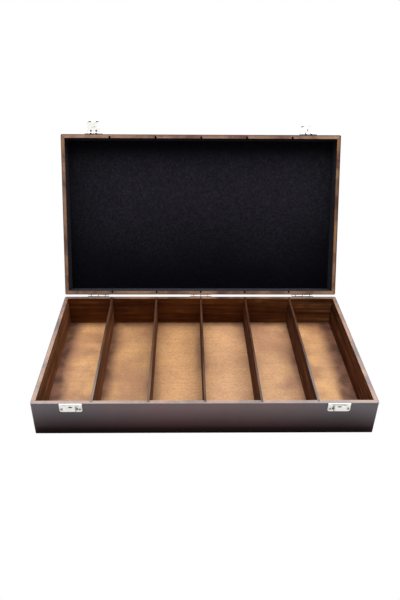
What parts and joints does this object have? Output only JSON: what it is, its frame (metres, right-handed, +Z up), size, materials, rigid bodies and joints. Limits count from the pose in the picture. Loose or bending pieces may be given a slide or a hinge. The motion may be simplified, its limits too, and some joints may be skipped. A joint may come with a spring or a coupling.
{
  "type": "fountain pen case",
  "caption": "Hinged wooden case with long side-by-side pen compartments, a velvet-lined lid on stop hinges and sliding-bolt latches with hinged hasps.",
  "frame": {"origin": "centre of the base's underside, where the case rests", "axes": "+X along the case's length to the viewer's right, +Y from the latches towards the hinges, +Z up; drawn with the lid open on its stops"},
  "size_m": [0.4, 0.3575, 0.275],
  "materials": {
    "stained_wood": "satin dark espresso stain, open grain",
    "golden_wood": "thin brown stain over golden plywood, darker along the walls",
    "black_velvet": "short-pile black velvet",
    "nickel": "bright nickel plate on stamped steel"
  },
  "bodies": {
    "base": {"base_front_board": "stained_wood", "base_back_board": "stained_wood", "base_left_board": "stained_wood", "base_right_board": "stained_wood", "base_floor": "golden_wood", "divider_1": "stained_wood", "divider_2": "stained_wood", "divider_3": "stained_wood", "divider_4": "stained_wood", "divider_5": "stained_wood", "hinge_left_base_leaf": "nickel", "hinge_left_pin": "nickel", "hinge_middle_base_leaf": "nickel", "hinge_middle_pin": "nickel", "hinge_right_base_leaf": "nickel", "hinge_right_pin": "nickel", "hinge_screws_base": "nickel", "latch_left_plate": "nickel", "latch_right_plate": "nickel", "latch_screws": "nickel"},
    "lid": {"lid_front_board": "stained_wood", "lid_back_board": "stained_wood", "lid_left_board": "stained_wood", "lid_right_board": "stained_wood", "lid_top_panel": "stained_wood", "lining_panel": "black_velvet", "lining_front": "black_velvet", "lining_back": "black_velvet", "lining_left": "black_velvet", "lining_right": "black_velvet", "hinge_left_lid_leaf": "nickel", "hinge_middle_lid_leaf": "nickel", "hinge_right_lid_leaf": "nickel", "hinge_screws_lid": "nickel", "hasp_left_mount": "nickel", "hasp_left_pin": "nickel", "hasp_right_mount": "nickel", "hasp_right_pin": "nickel", "hasp_screws": "nickel"},
    "latch_left": {"latch_left_slider": "nickel"},
    "latch_right": {"latch_right_slider": "nickel"},
    "hasp_left": {"hasp_left_flap": "nickel"},
    "hasp_right": {"hasp_right_flap": "nickel"}
  },
  "joints": [
    {"name": "lid_hinge", "type": "hinge", "parent": "base", "child": "lid", "pos_m": [0, 0.117, 0.0466], "axis": [1, 0, 0], "range_deg": [0, 114]},
    {"name": "latch_left_slide", "type": "slide", "parent": "base", "child": "latch_left", "axis": [1, 0, 0], "range_m": [0, 0.0015], "stiffness_N_per_m": 200, "springref_m": -0.001},
    {"name": "latch_right_slide", "type": "slide", "parent": "base", "child": "latch_right", "axis": [-1, 0, 0], "range_m": [0, 0.0015], "stiffness_N_per_m": 200, "springref_m": -0.001},
    {"name": "hasp_left_hinge", "type": "hinge", "parent": "lid", "child": "hasp_left", "pos_m": [-0.154, 0.21748, 0.25779], "axis": [1, 0, 0], "range_deg": [-45, 90]},
    {"name": "hasp_right_hinge", "type": "hinge", "parent": "lid", "child": "hasp_right", "pos_m": [0.154, 0.21748, 0.25779], "axis": [1, 0, 0], "range_deg": [-5, 130]}
  ]
}
